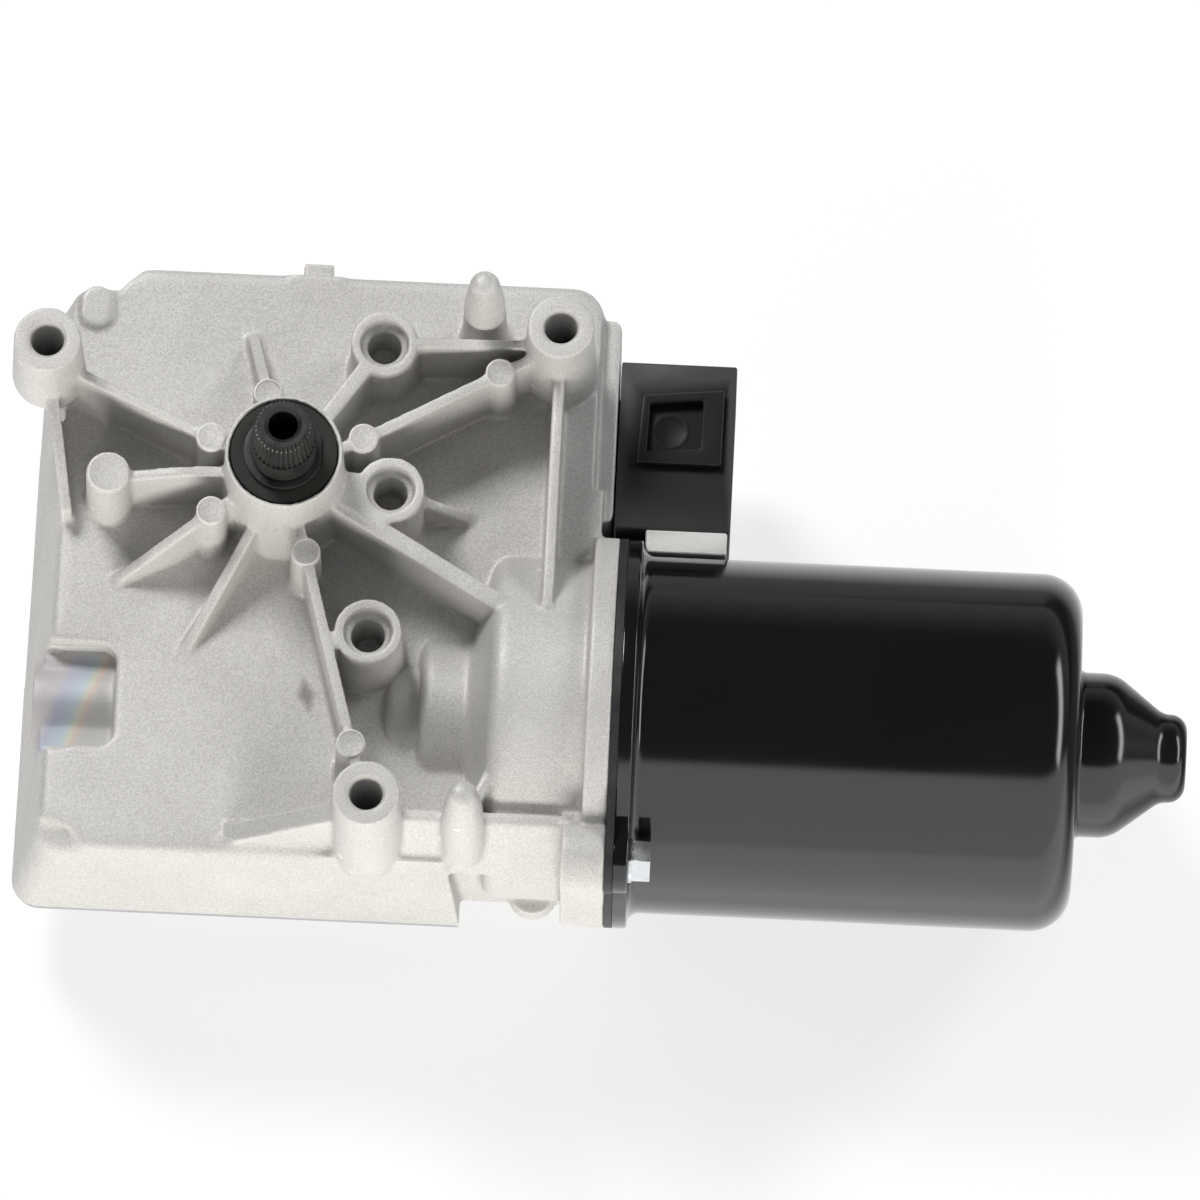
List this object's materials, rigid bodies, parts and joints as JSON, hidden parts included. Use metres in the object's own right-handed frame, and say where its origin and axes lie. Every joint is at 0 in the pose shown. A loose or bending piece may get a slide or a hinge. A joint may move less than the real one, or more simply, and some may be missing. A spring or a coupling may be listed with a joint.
{
  "type": "wiper motor",
  "caption": "Geared electric wiper motor: ribbed cast gear housing with a serrated output shaft, black round motor can, and a plug connector.",
  "frame": {"origin": "on the output shaft's axis, in the plane of the three mounting bosses' tops", "axes": "+Z out along the output shaft, +X along the motor towards the can's closed end, +Y away from the motor across the gear housing"},
  "size_m": [0.2383, 0.1338, 0.0985],
  "materials": {
    "cast_aluminium": "fine blasted die-cast surface",
    "dark_steel": "phosphated, dark, dry",
    "black_seal": "matte charcoal black",
    "bronze": "sintered bronze, dull",
    "gear_plastic": "moulded acetal, off-white",
    "bright_steel": "ground steel",
    "zinc_steel": "bright zinc plating",
    "laminations": "stacked sheet steel",
    "copper": "enamelled copper",
    "moulded_resin": "dark brown moulded resin",
    "brass": "plain brass strip",
    "carbon": "copper graphite, dull",
    "ferrite": "sintered ferrite, dark grey",
    "black_paint": "gloss black paint",
    "black_rubber": "black rubber",
    "pressed_steel": "zinc-coated pressed steel",
    "black_plastic": "satin black moulded plastic",
    "board_green": "green solder mask",
    "capacitor_sleeve": "dark blue sleeve"
  },
  "bodies": {
    "housing": {"back_cover": "pressed_steel", "bearing_outer_ring": "bright_steel", "bearing_retainer": "bright_steel", "brush_holders": "brass", "brush_plate": "moulded_resin", "brush_springs": "bright_steel", "brushes": "carbon", "capacitor": "capacitor_sleeve", "circuit_board": "board_green", "connector_housing": "black_plastic", "connector_terminals": "brass", "cover_gasket": "black_rubber", "cover_screws": "zinc_steel", "dust_seal": "black_seal", "field_magnets": "ferrite", "flange_gasket": "black_rubber", "flange_screws": "zinc_steel", "gear_housing": "cast_aluminium", "lower_bush": "bronze", "magnet_clips": "bright_steel", "motor_can": "black_paint", "noise_chokes": "ferrite", "park_contacts": "brass", "relay": "moulded_resin", "tail_bush": "bronze", "thrust_ball": "bright_steel", "thrust_screw": "zinc_steel", "upper_bush": "bronze", "worm_tip_bush": "bronze"},
    "output": {"output_shaft": "dark_steel", "retaining_ring": "dark_steel", "worm_wheel": "gear_plastic", "wheel_insert": "bright_steel", "thrust_washer": "bright_steel", "shaft_clip": "bright_steel", "park_disc": "brass"},
    "armature": {"armature_shaft": "bright_steel", "armature_core": "laminations", "armature_windings": "copper", "commutator_core": "moulded_resin", "commutator_segments": "copper", "bearing_inner_ring": "bright_steel", "bearing_balls": "bright_steel"}
  },
  "joints": [
    {"name": "armature_spin", "type": "hinge", "parent": "housing", "child": "armature", "pos_m": [0, -0.042, -0.0425], "axis": [1, 0, 0], "continuous": true},
    {"name": "output_spin", "type": "hinge", "parent": "housing", "child": "output", "pos_m": [0, 0, 0], "axis": [0, 0, 1], "continuous": true}
  ],
  "couplings": [
    {"joint": "output_spin", "follows": "armature_spin", "ratio": -0.017857}
  ]
}
